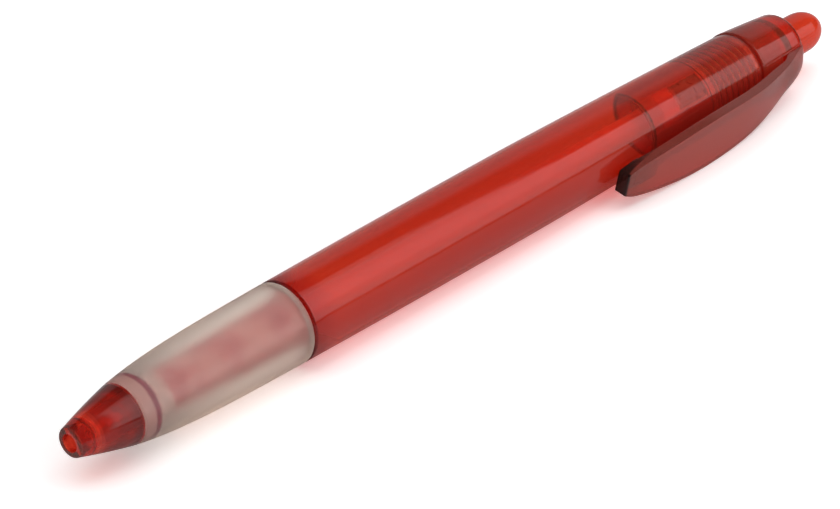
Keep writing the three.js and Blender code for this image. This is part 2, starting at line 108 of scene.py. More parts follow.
def applyModifier(piece, kind, **settings):
    makeActive(piece)
    modifier = piece.modifiers.new(kind.title(), kind)
    for key, value in settings.items():
        setattr(modifier, key, value)
    bpy.ops.object.modifier_apply(modifier=modifier.name)


def softenEdges(piece, width, segments=2, angle=28):
    applyModifier(piece, "BEVEL", width=width * mm, segments=segments, limit_method="ANGLE",
                  angle_limit=math.radians(angle))


def cutWith(piece, cutter):
    applyModifier(piece, "BOOLEAN", operation="DIFFERENCE", object=cutter, solver="EXACT")
    bpy.data.objects.remove(cutter)


def joinWith(piece, other):
    applyModifier(piece, "BOOLEAN", operation="UNION", object=other, solver="EXACT")
    bpy.data.objects.remove(other)


def settle(piece, body, material, slot, *nodes):
    piece.location = (noseX, axisY, axisZ)
    piece.rotation_euler = (penRoll, 0, 0)
    applyPlace(piece)
    bpy.ops.object.shade_smooth_by_angle(angle=math.radians(smoothAngle))
    piece.data.materials.clear()
    piece.data.materials.append(material)
    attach(piece, body)
    if nodes:
        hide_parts(*nodes)
    return piece


def tapered(wideX, wideRadius, narrowX, narrowRadius, straightShare, power):
    def radiusAt(x):
        t = abs(x - wideX) / abs(narrowX - wideX)
        fall = straightShare * t + (1 - straightShare) * t ** power
        return wideRadius - (wideRadius - narrowRadius) * fall
    return radiusAt


def curveRun(radiusAt, fromX, toX, steps):
    stations = [fromX + (toX - fromX) * i / steps for i in range(steps + 1)]
    return [(x, radiusAt(x)) for x in stations]


def cornerArc(centreX, centreRadius, radius, fromDegrees, toDegrees, steps):
    arc = []
    for i in range(steps + 1):
        angle = math.radians(fromDegrees + (toDegrees - fromDegrees) * i / steps)
        arc.append((centreX + radius * math.cos(angle), centreRadius + radius * math.sin(angle)))
    return arc


def turned(name, profile, sides=96, edge=0.0):
    # the profile is drawn by pulling one vertex along, then spun round the pen's axis
    deselectAll()
    firstX, firstRadius = profile[0]
    bpy.ops.mesh.primitive_plane_add(size=mm)
    piece = bpy.context.object
    piece.name = name
    startEdit(piece)
    bpy.ops.mesh.select_all(action="SELECT")
    bpy.ops.mesh.merge(type="CENTER")
    bpy.ops.transform.translate(value=(firstX * mm, 0, firstRadius * mm))
    outline = list(profile[1:])
    if firstRadius > 0:
        outline.append(profile[0])
    lastX, lastRadius = firstX, firstRadius
    for x, radius in outline:
        step = ((x - lastX) * mm, 0, (radius - lastRadius) * mm)
        bpy.ops.mesh.extrude_vertices_move(TRANSFORM_OT_translate={"value": step})
        lastX, lastRadius = x, radius
    bpy.ops.mesh.select_all(action="SELECT")
    bpy.ops.mesh.spin(steps=sides, angle=2 * math.pi, center=(0, 0, 0), axis=(1, 0, 0))
    bpy.ops.mesh.select_all(action="SELECT")
    bpy.ops.mesh.remove_doubles(threshold=weldReach)
    bpy.ops.mesh.delete_loose(use_verts=True, use_edges=True, use_faces=False)
    bpy.ops.mesh.select_all(action="SELECT")
    bpy.ops.mesh.normals_make_consistent(inside=False)
    endEdit()
    if edge:
        softenEdges(piece, edge)
    return piece


def block(name, spanX, spanY, spanZ):
    deselectAll()
    centre = [(low + high) / 2 * mm for low, high in (spanX, spanY, spanZ)]
    bpy.ops.mesh.primitive_cube_add(size=mm, location=centre)
    piece = bpy.context.object
    piece.name = name
    piece.scale = [high - low for low, high in (spanX, spanY, spanZ)]
    applyPlace(piece)
    return piece


def woundPiece(name, makeSection, pitch, turns, steps):
    # a section beside the axis is carried round it and along it, and its two ends are closed
    piece = makeSection(name)
    applyPlace(piece)
    applyModifier(piece, "SCREW", axis="X", angle=2 * math.pi, screw_offset=pitch * mm, iterations=turns,
                  steps=steps, render_steps=steps, use_merge_vertices=False)
    startEdit(piece)
    bpy.ops.mesh.select_all(action="SELECT")
    bpy.ops.mesh.remove_doubles(threshold=weldReach)
    bpy.ops.mesh.select_all(action="DESELECT")
    bpy.ops.mesh.select_non_manifold()
    bpy.ops.mesh.fill_holes(sides=0)
    bpy.ops.mesh.select_all(action="SELECT")
    bpy.ops.mesh.normals_make_consistent(inside=False)
    endEdit()
    return piece


# Finishes

# what all finishes share: the part of the noise that is used, the ripple's height and the blur of a
# limit in radius in mm, and how the plastics bend and mirror light unless a finish says otherwise
surface = {"grainLow": 0.3, "grainHigh": 0.7, "patchLow": 0.4, "patchHigh": 0.6, "rippleHeight": 0.02,
           "radiusBlur": 0.1, "ior": 1.49, "specular": 0.5}


def nearAxis(nodes, links, place, fullRadius, clearRadius):
    # 1 up to the first radius round the pen's axis, 0 from the second one outwards
    offset = nodes.new("ShaderNodeVectorMath")
    offset.operation = "SUBTRACT"
    offset.inputs[1].default_value = (0, axisY, axisZ)
    links.new(place.outputs["Object"], offset.inputs[0])
    across = nodes.new("ShaderNodeVectorMath")
    across.operation = "MULTIPLY"
    across.inputs[1].default_value = (0, 1, 1)
    links.new(offset.outputs["Vector"], across.inputs[0])
    reach = nodes.new("ShaderNodeVectorMath")
    reach.operation = "LENGTH"
    links.new(across.outputs["Vector"], reach.inputs[0])
    mask = nodes.new("ShaderNodeMapRange")
    mask.inputs["From Min"].default_value = fullRadius * mm
    mask.inputs["From Max"].default_value = clearRadius * mm
    mask.inputs["To Min"].default_value = 1
    mask.inputs["To Max"].default_value = 0
    links.new(reach.outputs["Value"], mask.inputs["Value"])
    return mask.outputs["Result"]


def productOf(nodes, links, first, second):
    product = nodes.new("ShaderNodeMath")
    product.operation = "MULTIPLY"
    links.new(first, product.inputs[0])
    links.new(second, product.inputs[1])
    return product.outputs["Value"]


def stretchAlong(nodes, links, place, fromX, toX, blur):
    # 1 between two stations along the pen, 0 elsewhere
    split = nodes.new("ShaderNodeSeparateXYZ")
    links.new(place.outputs["Object"], split.inputs["Vector"])
    ends = []
    for outer, inner in ((fromX - blur, fromX), (toX + blur, toX)):
        end = nodes.new("ShaderNodeMapRange")
        end.inputs["From Min"].default_value = noseX + outer * mm
        end.inputs["From Max"].default_value = noseX + inner * mm
        links.new(split.outputs["X"], end.inputs["Value"])
        ends.append(end.outputs["Result"])
    return productOf(nodes, links, *ends)


def stretchInside(nodes, links, place, radius, fromX, toX, blur):
    # the same, but only on the surfaces that lie near the pen's axis
    return productOf(nodes, links, stretchAlong(nodes, links, place, fromX, toX, blur),
                     nearAxis(nodes, links, place, radius, radius + surface["radiusBlur"]))


def paintOver(nodes, links, colour, mask, newColour):
    painted = nodes.new("ShaderNodeMix")
    painted.data_type = "RGBA"
    painted.inputs["B"].default_value = (*newColour, 1)
    links.new(mask, painted.inputs["Factor"])
    links.new(colour, painted.inputs["A"])
    return painted.outputs["Result"]


def finish(name, look):
    # moulded surface: slow tint drift, uneven polish and a faint ripple, all on Object coordinates
    material = bpy.data.materials.new(name)
    material.use_nodes = True
    nodes = material.node_tree.nodes
    links = material.node_tree.links
    shader = nodes["Principled BSDF"]
    output = nodes["Material Output"]
    place = nodes.new("ShaderNodeTexCoord")

    drift = nodes.new("ShaderNodeTexNoise")
    drift.inputs["Scale"].default_value = look["driftScale"]
    drift.inputs["Detail"].default_value = 3
    links.new(place.outputs["Object"], drift.inputs["Vector"])
    tint = nodes.new("ShaderNodeMix")
    tint.data_type = "RGBA"
    tint.inputs["A"].default_value = (*look["deep"], 1)
    tint.inputs["B"].default_value = (*look["pale"], 1)
    links.new(drift.outputs["Fac"], tint.inputs["Factor"])
    colour = tint.outputs["Result"]
    for fromX, toX, blur, bandColour in look.get("bands", []):
        # a stretch of the piece painted darker or paler along the pen: mostly painted shade and painted
        # highlights at edges, seams and steps seen through the clear plastic
        colour = paintOver(nodes, links, colour, stretchAlong(nodes, links, place, fromX, toX, blur),
                           bandColour)
    if "paintedInnerShade" in look:
        # a band on the surfaces near the axis only: a painted shadow line of the button's collar on the
        # cap's bore, and painted shade on the clip's inner side near its free end
        *reach, bandColour = look["paintedInnerShade"]
        colour = paintOver(nodes, links, colour, stretchInside(nodes, links, place, *reach), bandColour)
    if "patches" in look:
        # uneven contact under the soft sleeve shows as darker red clouds
        fromX, toX, blur, patchColour, patchScale = look["patches"]
        cloud = nodes.new("ShaderNodeTexNoise")
        cloud.inputs["Scale"].default_value = patchScale
        cloud.inputs["Detail"].default_value = 4
        links.new(place.outputs["Object"], cloud.inputs["Vector"])
        cover = nodes.new("ShaderNodeMapRange")
        cover.inputs["From Min"].default_value = surface["patchLow"]
        cover.inputs["From Max"].default_value = surface["patchHigh"]
        links.new(cloud.outputs["Fac"], cover.inputs["Value"])
        amount = productOf(nodes, links, cover.outputs["Result"],
                           stretchAlong(nodes, links, place, fromX, toX, blur))
        colour = paintOver(nodes, links, colour, amount, patchColour)
    links.new(colour, shader.inputs["Base Color"])

    grain = nodes.new("ShaderNodeTexNoise")
    grain.inputs["Scale"].default_value = look["grainScale"]
    grain.inputs["Detail"].default_value = 5
    links.new(place.outputs["Object"], grain.inputs["Vector"])
    polish = nodes.new("ShaderNodeMapRange")
    polish.inputs["From Min"].default_value = surface["grainLow"]
    polish.inputs["From Max"].default_value = surface["grainHigh"]
    polish.inputs["To Min"].default_value = look["roughness"][0]
    polish.inputs["To Max"].default_value = look["roughness"][1]
    links.new(grain.outputs["Fac"], polish.inputs["Value"])
    roughness = polish.outputs["Result"]
    if "matteBore" in look:
        # the moulding core leaves the bore matte, so what lies deep inside is blurred
        *reach, matteRoughness = look["matteBore"]
        bored = nodes.new("ShaderNodeMix")
        links.new(stretchInside(nodes, links, place, *reach), bored.inputs["Factor"])
        links.new(roughness, bored.inputs["A"])
        bored.inputs["B"].default_value = matteRoughness
        roughness = bored.outputs["Result"]
    links.new(roughness, shader.inputs["Roughness"])
    ripple = nodes.new("ShaderNodeBump")
    ripple.inputs["Strength"].default_value = look["bump"]
    ripple.inputs["Distance"].default_value = surface["rippleHeight"] * mm
    links.new(grain.outputs["Fac"], ripple.inputs["Height"])
    links.new(ripple.outputs["Normal"], shader.inputs["Normal"])

    shader.inputs["Metallic"].default_value = look.get("metallic", 0)
    shader.inputs["IOR"].default_value = look.get("ior", surface["ior"])
    shader.inputs["Specular IOR Level"].default_value = look.get("specular", surface["specular"])
    shader.inputs["Transmission Weight"].default_value = look.get("transmission", 0)
    if "absorbs" in look:
        # depth of colour by the way light goes through the wall, in 1/mm for red, green and blue
        strongest = max(look["absorbs"])
        depth = nodes.new("ShaderNodeVolumeAbsorption")
        depth.inputs["Color"].default_value = (*[1 - each / strongest for each in look["absorbs"]], 1)
        depth.inputs["Density"].default_value = strongest / mm
        links.new(depth.outputs["Volume"], output.inputs["Volume"])
    if "lampTint" in look:
        # lamps reach what lies behind the clear plastic
        path = nodes.new("ShaderNodeLightPath")
        clear = nodes.new("ShaderNodeBsdfTransparent")
        clear.inputs["Color"].default_value = (*look["lampTint"], 1)
        choice = nodes.new("ShaderNodeMixShader")
        links.new(path.outputs["Is Shadow Ray"], choice.inputs["Fac"])
        links.new(shader.outputs["BSDF"], choice.inputs[1])
        links.new(clear.outputs["BSDF"], choice.inputs[2])
        links.new(choice.outputs["Shader"], output.inputs["Surface"])
    return material


# colours are linear; "bands" are (from, to, blur, colour) along the pen in mm, "paintedInnerShade" is
# (radius, from, to, blur, colour), "matteBore" is (radius, from, to, blur, roughness), "patches" is
# (from, to, blur, colour, scale), and "absorbs" is the loss of red, green and blue in 1/mm
noseRed = finish("nose plastic with a matte bore", {
    "deep": (0.68, 0.075, 0.055), "pale": (0.76, 0.10, 0.075), "driftScale": 90, "grainScale": 900,
    "roughness": (0.06, 0.1), "bump": 0.03, "transmission": 0.9, "absorbs": (0.2, 0.70, 1.1),
    "matteBore": (2.5, 2.6, 17, 0.1, 0.3),
    # painted light: a bright red ring of light where the bore steps down, and a paler front face
    "bands": [(2.1, 3.0, 0.1, (0.99, 0.17, 0.11)), (-0.2, 0.2, 0.15, (0.97, 0.26, 0.19))],
    "lampTint": (0.99, 0.86, 0.82)})
barrelRed = finish("barrel plastic with a matte bore", {
    "deep": (0.91, 0.34, 0.24), "pale": (0.96, 0.38, 0.27), "driftScale": 60, "grainScale": 900,
    "roughness": (0.06, 0.1), "bump": 0.03, "transmission": 0.97, "absorbs": (0.145, 0.70, 1.1),
    # the band is a painted shade line in the seam behind the grip
    "matteBore": (4.4, 35.5, 82, 18, 0.26), "bands": [(35.0, 35.35, 0.1, (0.3, 0.05, 0.04))],
    "lampTint": (0.985, 0.50, 0.40)})
coreRed = finish("satin core under the grip", {
    "deep": (0.36, 0.095, 0.09), "pale": (0.43, 0.12, 0.11), "driftScale": 90, "grainScale": 900,
    "roughness": (0.32, 0.4), "bump": 0.03, "transmission": 0.35, "specular": 0.1,
    # the dark ring at the core's front end, where the collar ring meets it, is painted shade; behind it come
    # a paler stretch and a deep red stretch
    "bands": [(10.9, 11.2, 0.1, (0.25, 0.01, 0.03)), (11.5, 13.0, 0.4, (0.34, 0.20, 0.18)),
              (14.0, 15.6, 0.5, (0.30, 0.006, 0.012))],
    "patches": (14, 33, 2, (0.30, 0.002, 0.01), 220), "lampTint": (0.99, 0.78, 0.72)})
collarRed = finish("satin collar under the grip", {
    "deep": (0.34, 0.18, 0.165), "pale": (0.40, 0.21, 0.19), "driftScale": 90, "grainScale": 900,
    "roughness": (0.32, 0.4), "bump": 0.03, "transmission": 0.35, "specular": 0.1,
    # the band paints shade on the collar ring's back edge, where it meets the core
    "bands": [(10.4, 11.0, 0.3, (0.20, 0.03, 0.05))], "lampTint": (0.99, 0.88, 0.85)})
capRed = finish("cap plastic with a satin bore", {
    "deep": (0.76, 0.10, 0.05), "pale": (0.82, 0.125, 0.065), "driftScale": 60, "grainScale": 900,
    "roughness": (0.05, 0.09), "bump": 0.03, "transmission": 0.85, "absorbs": (0.13, 0.72, 1.0),
    "specular": 0.34, "matteBore": (3.8, 123.6, 134, 0.1, 0.22),
    # painted shade: a dark ring at the skirt's lip, and a painted shadow line of the button's collar on the
    # bore
    "bands": [(100.5, 100.75, 0.08, (0.12, 0.015, 0.015))],
    "paintedInnerShade": (3.5, 130.3, 131.45, 0.15, (0.05, 0.01, 0.01)),
    "lampTint": (0.97, 0.62, 0.54)})
threadRed = finish("satin screw thread", {
    "deep": (0.31, 0.022, 0.014), "pale": (0.38, 0.03, 0.019), "driftScale": 160, "grainScale": 900,
    "roughness": (0.3, 0.4), "bump": 0.03, "transmission": 0.55, "specular": 0.2,
    "lampTint": (0.97, 0.70, 0.64)})
innerRed = finish("milky red inner plastic", {
    "deep": (0.32, 0.03, 0.018), "pale": (0.38, 0.04, 0.024), "driftScale": 160, "grainScale": 900,
    "roughness": (0.25, 0.35), "bump": 0.05, "transmission": 0.25, "lampTint": (0.95, 0.7, 0.66)})
guideRed = finish("guide sleeve plastic", {
    "deep": (0.20, 0.016, 0.009), "pale": (0.25, 0.022, 0.012), "driftScale": 160, "grainScale": 900,
    "roughness": (0.25, 0.35), "bump": 0.05, "transmission": 0.4,
    "bands": [(103, 106, 1.5, (0.74, 0.14, 0.1))], "lampTint": (0.95, 0.7, 0.66)})
buttonRed = finish("bright red button plastic", {
    "deep": (0.68, 0.055, 0.02), "pale": (0.74, 0.07, 0.028), "driftScale": 120, "grainScale": 900,
    "roughness": (0.07, 0.12), "bump": 0.03, "transmission": 0.45, "absorbs": (0.05, 0.5, 0.8),
    # the band paints shade on the flange's outer edge: the painted shadow line of the collar, seen through
    # the cap
    "specular": 0.25, "bands": [(130.2, 131.3, 0.15, (0.09, 0.014, 0.012))],
    "lampTint": (0.97, 0.62, 0.54)})
smokyRed = finish("smoky clip plastic", {
    "deep": (0.80, 0.16, 0.118), "pale": (0.86, 0.185, 0.14), "driftScale": 80, "grainScale": 700,
    "roughness": (0.08, 0.12), "bump": 0.03, "transmission": 0.82, "absorbs": (0.42, 1.2, 1.45),
    # painted shade: the free end's face is painted near-black, and the inner side near the free end darker
    "specular": 0.25, "bands": [(90.0, 90.95, 0.12, (0.03, 0.012, 0.009))],
    "paintedInnerShade": (7.92, 90.9, 92, 6.0, (0.12, 0.035, 0.028)),
    "lampTint": (0.94, 0.78, 0.74)})
frostedGrip = finish("frosted soft grip", {
    "deep": (0.91, 0.83, 0.78), "pale": (0.95, 0.88, 0.84), "driftScale": 90, "grainScale": 500,
    "roughness": (0.31, 0.37), "bump": 0.01, "transmission": 0.97, "ior": 1.38, "specular": 0.2,
    "absorbs": (0.03, 0.045, 0.06), "lampTint": (0.98, 0.97, 0.96)})
springSteel = finish("bright spring wire", {
    "deep": (0.62, 0.62, 0.63), "pale": (0.78, 0.78, 0.79), "driftScale": 900, "grainScale": 4000,
    "roughness": (0.16, 0.3), "bump": 0.1, "metallic": 1, "lampTint": (0.7, 0.64, 0.6)})
refillClear = finish("refill tube plastic", {
    "deep": (0.66, 0.37, 0.34), "pale": (0.74, 0.43, 0.39), "driftScale": 200, "grainScale": 900,
    "roughness": (0.3, 0.4), "bump": 0.03, "transmission": 0.15,
    "lampTint": (0.98, 0.95, 0.94)})
wetInk = finish("red ink", {
    "deep": (0.62, 0.09, 0.06), "pale": (0.70, 0.12, 0.08), "driftScale": 260, "grainScale": 600,
    "roughness": (0.2, 0.35), "bump": 0.05, "transmission": 0.1, "lampTint": (0.95, 0.6, 0.55)})
clearGrease = finish("clear grease", {
    "deep": (0.86, 0.78, 0.60), "pale": (0.92, 0.86, 0.70), "driftScale": 500, "grainScale": 900,
    "roughness": (0.2, 0.4), "bump": 0.2, "transmission": 0.5,
    "lampTint": (0.9, 0.85, 0.8)})
pointBrass = finish("turned brass point", {
    "deep": (0.72, 0.53, 0.26), "pale": (0.84, 0.66, 0.36), "driftScale": 700, "grainScale": 3000,
    "roughness": (0.2, 0.34), "bump": 0.12, "metallic": 1, "lampTint": (0.7, 0.6, 0.55)})
ballSteel = finish("polished ball", {
    "deep": (0.66, 0.66, 0.67), "pale": (0.75, 0.75, 0.76), "driftScale": 900, "grainScale": 5000,
    "roughness": (0.08, 0.16), "bump": 0.03, "metallic": 1})
print("finishes made")


# Stations along the pen that several pieces share

pen = {"gripStart": 8.2, "gripEnd": 35.1, "belly": 80, "capStart": 123.5, "capEnd": 133.4, "end": 142,
       "seamGap": 0.15}
fineSides = 128
thinSides = 48


# Nose cone

noseShape = {"frontRadius": 1.85, "backRadius": 3.95, "edge": 0.35, "holeRadius": 1.15,
             "holeDepth": 2.3, "seatRadius": 1.8, "boreRadius": 2.3, "boreStart": 5.6,
             "collar": 2.6, "coreRadius": 3.32, "spigot": 5.6, "spigotRadius": 2.72, "taperStraight": 0.82,
             "taperPower": 2, "edgeCut": 0.08}
# a ring round the nose's collar, seen through the grip: how far it stands off the nose's shoulder and
# past the collar, and the gap inside it
flangeShape = {"radius": 3.5, "standOff": 0.2, "overhang": 0.15, "gap": 0.03, "edgeCut": 0.02}


def makeNose():
    shape = noseShape
    back = pen["gripStart"]
    edge = shape["edge"]
    radiusAt = tapered(back, shape["backRadius"], 0, shape["frontRadius"], shape["taperStraight"],
                       shape["taperPower"])
    collarEnd = back + shape["collar"]
    spigotEnd = collarEnd + shape["spigot"]
    nose = turned("nose", [
        (0, shape["frontRadius"] - edge),
        *cornerArc(edge, radiusAt(edge) - edge, edge, 165, 100, 6),
        *curveRun(radiusAt, 2 * edge, back, 16),
        (back, shape["coreRadius"]),
        (collarEnd, shape["coreRadius"]),
        (collarEnd, shape["spigotRadius"]),
        (spigotEnd, shape["spigotRadius"]),
        (spigotEnd, shape["boreRadius"]),
        (shape["boreStart"], shape["boreRadius"]),
        (shape["holeDepth"], shape["seatRadius"]),
        (shape["holeDepth"], shape["holeRadius"]),
        (0, shape["holeRadius"]),
    ], edge=shape["edgeCut"])
    settle(nose, "barrel", noseRed, "clear_red", "nose_cone")
    flangeStart = back + flangeShape["standOff"]
    flangeEnd = collarEnd + flangeShape["overhang"]
    flangeBore = shape["coreRadius"] + flangeShape["gap"]
    flange = turned("nose_flange", [
        (flangeStart, flangeBore),
        (flangeStart, flangeShape["radius"]),
        (flangeEnd, flangeShape["radius"]),
        (flangeEnd, flangeBore),
    ], edge=flangeShape["edgeCut"])
    settle(flange, "barrel", collarRed, "clear_red")


# Soft grip

gripShape = {"frontRadius": 3.95, "backRadius": 5.4, "bore": 3.45, "edge": 0.18, "frontGap": 0.1,
             "taperStraight": 0.29, "taperPower": 4, "edgeCut": 0.1}


def makeGrip():
    shape = gripShape
    radiusAt = tapered(pen["gripEnd"], shape["backRadius"], pen["gripStart"], shape["frontRadius"],
                       shape["taperStraight"], shape["taperPower"])
    front = pen["gripStart"] + shape["frontGap"]
    back = pen["gripEnd"] - pen["seamGap"]
    edge = shape["edge"]
    grip = turned("grip", [
        (front, shape["bore"]),
        (front, radiusAt(front) - edge),
        *curveRun(radiusAt, front + edge, back - edge, 40),
        (back, radiusAt(back) - edge),
        (back, shape["bore"]),
    ], edge=shape["edgeCut"])
    settle(grip, "barrel", frostedGrip, "frosted_grip", "grip_sleeve")


# Barrel, with the screw thread inside its back end

barrelShape = {"frontRadius": 5.4, "bellyRadius": 5.68, "endRadius": 5.12, "frontPower": 2, "backPower": 1.3,
               "shoulder": 0.9, "boreTaper": 4, "bore": 4.3, "threadRoot": 4.55, "threadBoreStart": 112.6,
               "edge": 0.18, "edgeCut": 0.07}
# the thin part under the grip, which grows thinner still at its waist
coreShape = {"start": 11.1, "radius": 3.4, "waistStart": 13.4, "waistFall": 0.2, "waistRadius": 3.0,
             "waistEnd": 33.8, "waistRise": 0.6, "spigotBore": 2.77, "spigotEnd": 16.8, "bore": 2.35,
             "lap": 0.04, "edgeCut": 0.05}
threadShape = {"start": 113.8, "pitch": 1.2, "turns": 7, "stepsPerTurn": 48, "baseWidth": 0.62,
               "crestWidth": 0.28, "skirtRoot": 3.95, "skirtCrest": 4.4, "barrelRoot": 4.65,
               "barrelCrest": 4.2}


def threadRidge(name, start, root, crest):
    def section(sectionName):
        deselectAll()
        bpy.ops.mesh.primitive_plane_add(size=mm, location=(start * mm, (root + crest) / 2 * mm, 0))
        ridge = bpy.context.object
        ridge.name = sectionName
        ridge.scale = (threadShape["baseWidth"], abs(crest - root), 1)
        applyPlace(ridge)
        startEdit(ridge)
        middle = (root + crest) / 2 * mm
        pickVerts(ridge, lambda co: (co.y > middle) == (crest > root))
        bpy.ops.transform.resize(value=(threadShape["crestWidth"] / threadShape["baseWidth"], 1, 1),
                                 center_override=(start * mm, crest * mm, 0))
        bpy.ops.mesh.select_all(action="SELECT")
        bpy.ops.mesh.delete(type="ONLY_FACE")
        endEdit()
        return ridge
    return woundPiece(name, section, threadShape["pitch"], threadShape["turns"],
                      threadShape["stepsPerTurn"])


def makeBarrel():
    shape = barrelShape
    edge = shape["edge"]
    end = pen["capStart"] - pen["seamGap"]
    boreStart = pen["gripEnd"] + shape["shoulder"]
    frontAt = tapered(pen["belly"], shape["bellyRadius"], pen["gripEnd"], shape["frontRadius"],
                      0, shape["frontPower"])
    backAt = tapered(pen["belly"], shape["bellyRadius"], pen["capStart"], shape["endRadius"],
                     0, shape["backPower"])
    coreEnd = pen["gripEnd"] + coreShape["lap"]
    core = turned("barrel_core", [
        (coreShape["start"], coreShape["spigotBore"]),
        (coreShape["start"], coreShape["radius"]),
        (coreShape["waistStart"], coreShape["radius"]),
        (coreShape["waistStart"] + coreShape["waistFall"], coreShape["waistRadius"]),
        (coreShape["waistEnd"], coreShape["waistRadius"]),
        (coreShape["waistEnd"] + coreShape["waistRise"], coreShape["radius"]),
        (coreEnd, coreShape["radius"]),
        (coreEnd, coreShape["bore"]),
        (coreShape["spigotEnd"], coreShape["bore"]),
        (coreShape["spigotEnd"], coreShape["spigotBore"]),
    ], edge=coreShape["edgeCut"])
    settle(core, "barrel", coreRed, "clear_red")
    tube = turned("barrel_tube", [
        (pen["gripEnd"], coreShape["bore"]),
        (pen["gripEnd"], shape["frontRadius"] - edge),
        *curveRun(frontAt, pen["gripEnd"] + edge, pen["belly"], 24),
        *curveRun(backAt, pen["belly"], end - edge, 24)[1:],
        (end, shape["endRadius"] - edge),
        (end, shape["threadRoot"]),
        (shape["threadBoreStart"], shape["threadRoot"]),
        (shape["threadBoreStart"], shape["bore"]),
        (boreStart + shape["boreTaper"], shape["bore"]),
        (boreStart, coreShape["bore"]),
    ], sides=fineSides, edge=shape["edgeCut"])
    settle(tube, "barrel", barrelRed, "clear_red", "barrel")
    ridge = threadRidge("barrel_thread", threadShape["start"] + threadShape["pitch"] / 2,
                        threadShape["barrelRoot"], threadShape["barrelCrest"])
    settle(ridge, "barrel", threadRed, "clear_red")


# Cap, with its long skirt, two skirt windows and the pocket that holds the clip's root

capShape = {"frontRadius": 5.24, "rimRadius": 4.51, "rimEdge": 0.4, "skirtStart": 100.2,
            "skirtRadius": 4.05, "skirtBore": 3.6, "skirtEdge": 0.14, "skirtLeadIn": 0.5,
            "headBoreStart": 123.3, "headBore": 3.35, "endWall": 2, "buttonHole": 3.05, "edge": 0.18,
            "taperStraight": 0.82, "taperPower": 2, "edgeCut": 0.06}
windowShape = {"start": 106.4, "end": 112.4, "width": 3, "low": 2.5, "high": 5, "turn": 120}
pocketShape = {"start": 128.2, "pastEnd": 1, "floor": 3.75, "high": 7, "width": 5.1}


def makeCap():
    shape = capShape
    edge = shape["edge"]
    rimEdge = shape["rimEdge"]
    capEnd = pen["capEnd"]
    radiusAt = tapered(pen["capStart"], shape["frontRadius"], capEnd, shape["rimRadius"],
                       shape["taperStraight"], shape["taperPower"])
    cap = turned("cap_shell", [
        (shape["skirtStart"], shape["skirtBore"]),
        (shape["skirtStart"], shape["skirtBore"] + shape["skirtEdge"]),
        (shape["skirtStart"] + shape["skirtLeadIn"], shape["skirtRadius"]),
        (pen["capStart"], shape["skirtRadius"]),
        (pen["capStart"], shape["frontRadius"] - edge),
        *curveRun(radiusAt, pen["capStart"] + edge, capEnd - rimEdge, 14),
        *cornerArc(capEnd - rimEdge, shape["rimRadius"] - rimEdge, rimEdge, 75, 0, 6),
        (capEnd, shape["buttonHole"]),
        (capEnd - shape["endWall"], shape["buttonHole"]),
        (capEnd - shape["endWall"], shape["headBore"]),
        (shape["headBoreStart"], shape["headBore"]),
        (shape["headBoreStart"], shape["skirtBore"]),
    ], sides=fineSides, edge=shape["edgeCut"])
    half = windowShape["width"] / 2
    for turn in (windowShape["turn"], windowShape["turn"] + 180):
        window = block("window_cutter", (windowShape["start"], windowShape["end"]),
                       (windowShape["low"], windowShape["high"]), (-half, half))
        window.rotation_euler = (math.radians(turn), 0, 0)
        applyPlace(window)
        cutWith(cap, window)
    halfPocket = pocketShape["width"] / 2
    pocket = block("pocket_cutter", (pocketShape["start"], capEnd + pocketShape["pastEnd"]),
                   (-pocketShape["high"], -pocketShape["floor"]), (-halfPocket, halfPocket))
    cutWith(cap, pocket)
    settle(cap, "cap", capRed, "clear_red", "cap")
    ridge = threadRidge("cap_thread", threadShape["start"], threadShape["skirtRoot"],
                        threadShape["skirtCrest"])
    settle(ridge, "cap", threadRed, "clear_red")


# Clip: a leaf lofted from its free end to its root, with a contact pad

clipShape = {"thickness": 1.35, "endThickness": 1.7, "tipRun": 6, "rootFloor": 3.87, "rootStart": 129.4,
             "crownShare": 0.3, "padStation": 94.4, "padLength": 6, "padWidth": 2.6, "padFlat": 1.5,
             "padSeat": 5.72, "padHigh": 7, "padEdge": 0.15, "edge": 0.28, "creaseAngle": 38,
             "edgeAngle": 34, "pickReach": 0.2}
# station, height of the middle line over the axis, width, how far the two edges lie lower
clipStations = [
    (90.7, 8.06, 3.2, 0), (92.1, 8.24, 4.55, 0), (94, 8.43, 5.3, 0), (96.5, 8.63, 5.98, 0),
    (100, 8.82, 6.92, 0.02), (104, 8.9, 7.63, 0.03), (108, 8.85, 7.95, 0.03), (112, 8.7, 7.85, 0.05),
    (116, 8.47, 7.41, 0.05), (120, 7.96, 6.9, 0.05), (124, 7.12, 6.2, 0.14), (126.2, 6.85, 5.8, 0.46),
    (128, 6.7, 5.45, 0.89), (129.8, 6.37, 5.1, 1.23), (131.2, 5.85, 4.7, 1.29), (132.4, 5.3, 4.7, 1.24),
    (133.2, 4.6, 4.7, 0.65)]


def clipInside(x, height, crown):
    if x >= clipShape["rootStart"]:
        return clipShape["rootFloor"]
    along = min(max((clipStations[0][0] + clipShape["tipRun"] - x) / clipShape["tipRun"], 0), 1)
    thickness = clipShape["thickness"] + (clipShape["endThickness"] - clipShape["thickness"]) * along
    return height - thickness - crown * clipShape["crownShare"]


